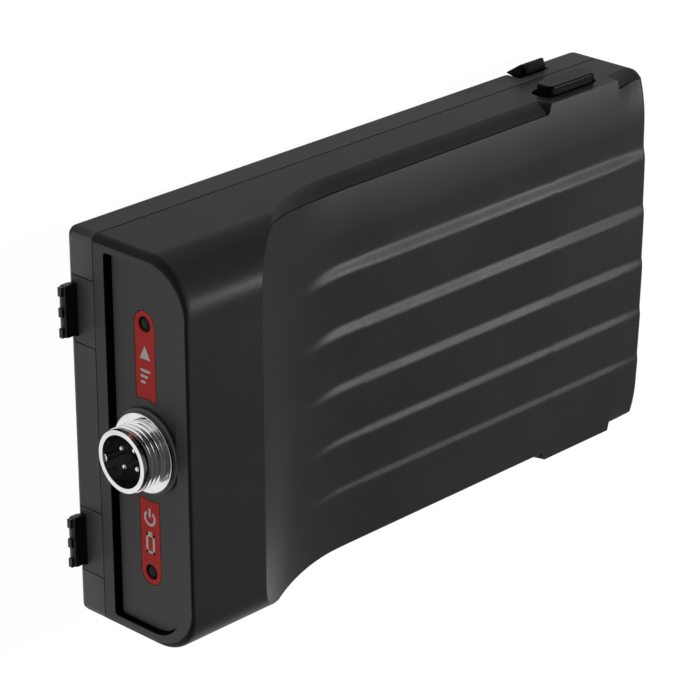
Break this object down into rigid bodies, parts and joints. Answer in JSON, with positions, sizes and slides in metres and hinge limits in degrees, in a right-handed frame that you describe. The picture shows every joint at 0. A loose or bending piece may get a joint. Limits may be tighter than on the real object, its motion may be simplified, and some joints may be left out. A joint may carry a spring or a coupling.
{
  "type": "clip-in wireless transmitter pack",
  "caption": "Flat ribbed plastic transmitter pack with a taller head, a threaded pin socket and indicator lights at one end, end hook tongues and squeeze latches on its sides.",
  "frame": {"origin": "centre of the flat back face that the pack rests on and is held by", "axes": "+X along the length, from the socket end to the far end; +Y across the width, towards the upper latch; +Z out of the ribbed front"},
  "size_m": [0.1399, 0.0796, 0.0302],
  "materials": {
    "case_plastic": "black satin moulded plastic",
    "panel_plastic": "black satin moulded plastic",
    "latch_plastic": "black glossy moulded plastic",
    "label_red": "red printed plastic",
    "lens": "smoked clear plastic",
    "led": "pale moulded resin",
    "circuit_board": "green solder mask",
    "chrome_plate": "bright nickel and chrome plate on brass",
    "steel": "bright steel",
    "pin_brass": "gold-plated brass",
    "insulator": "black moulded plastic",
    "black_rubber": "black rubber",
    "battery_wrap": "shrink-wrapped cell",
    "foam": "dark foam",
    "lead_jacket": "red flexible jacket"
  },
  "bodies": {
    "housing": {"antenna": "circuit_board", "antenna_lead": "black_rubber", "back_cover": "case_plastic", "battery_lead": "lead_jacket", "battery_pack": "battery_wrap", "battery_pad": "foam", "board_screw_1": "steel", "board_screw_2": "steel", "board_screw_3": "steel", "board_screw_4": "steel", "cover_screw_1": "steel", "cover_screw_2": "steel", "cover_screw_3": "steel", "cover_screw_4": "steel", "end_panel": "panel_plastic", "front_shell": "case_plastic", "label_lower": "label_red", "label_upper": "label_red", "latch_spring_lower": "steel", "latch_spring_upper": "steel", "led_board_lower": "circuit_board", "led_board_upper": "circuit_board", "led_lower": "led", "led_screw_1": "steel", "led_screw_2": "steel", "led_upper": "led", "lens_lower": "lens", "lens_upper": "lens", "main_board": "circuit_board", "radio_shield": "steel", "ribbon_header": "insulator", "socket_gasket": "black_rubber", "socket_insert": "insulator", "socket_nut": "steel", "socket_pin_1": "pin_brass", "socket_pin_2": "pin_brass", "socket_pin_3": "pin_brass", "socket_pin_4": "pin_brass", "socket_ribbon": "lead_jacket", "socket_shell": "chrome_plate", "socket_washer": "steel", "tongue_lower": "latch_plastic", "tongue_upper": "latch_plastic"},
    "upper_latch": {"latch_upper": "latch_plastic"},
    "lower_latch": {"latch_lower": "latch_plastic"}
  },
  "joints": [
    {"name": "latch_upper_press", "type": "slide", "parent": "housing", "child": "upper_latch", "axis": [0, -1, 0], "range_m": [0, 0.0018], "stiffness_N_per_m": 800, "springref_m": -0.003, "deforming": ["latch_spring_upper"]},
    {"name": "latch_lower_press", "type": "slide", "parent": "housing", "child": "lower_latch", "axis": [0, 1, 0], "range_m": [0, 0.0018], "stiffness_N_per_m": 800, "springref_m": -0.003, "deforming": ["latch_spring_lower"]}
  ]
}
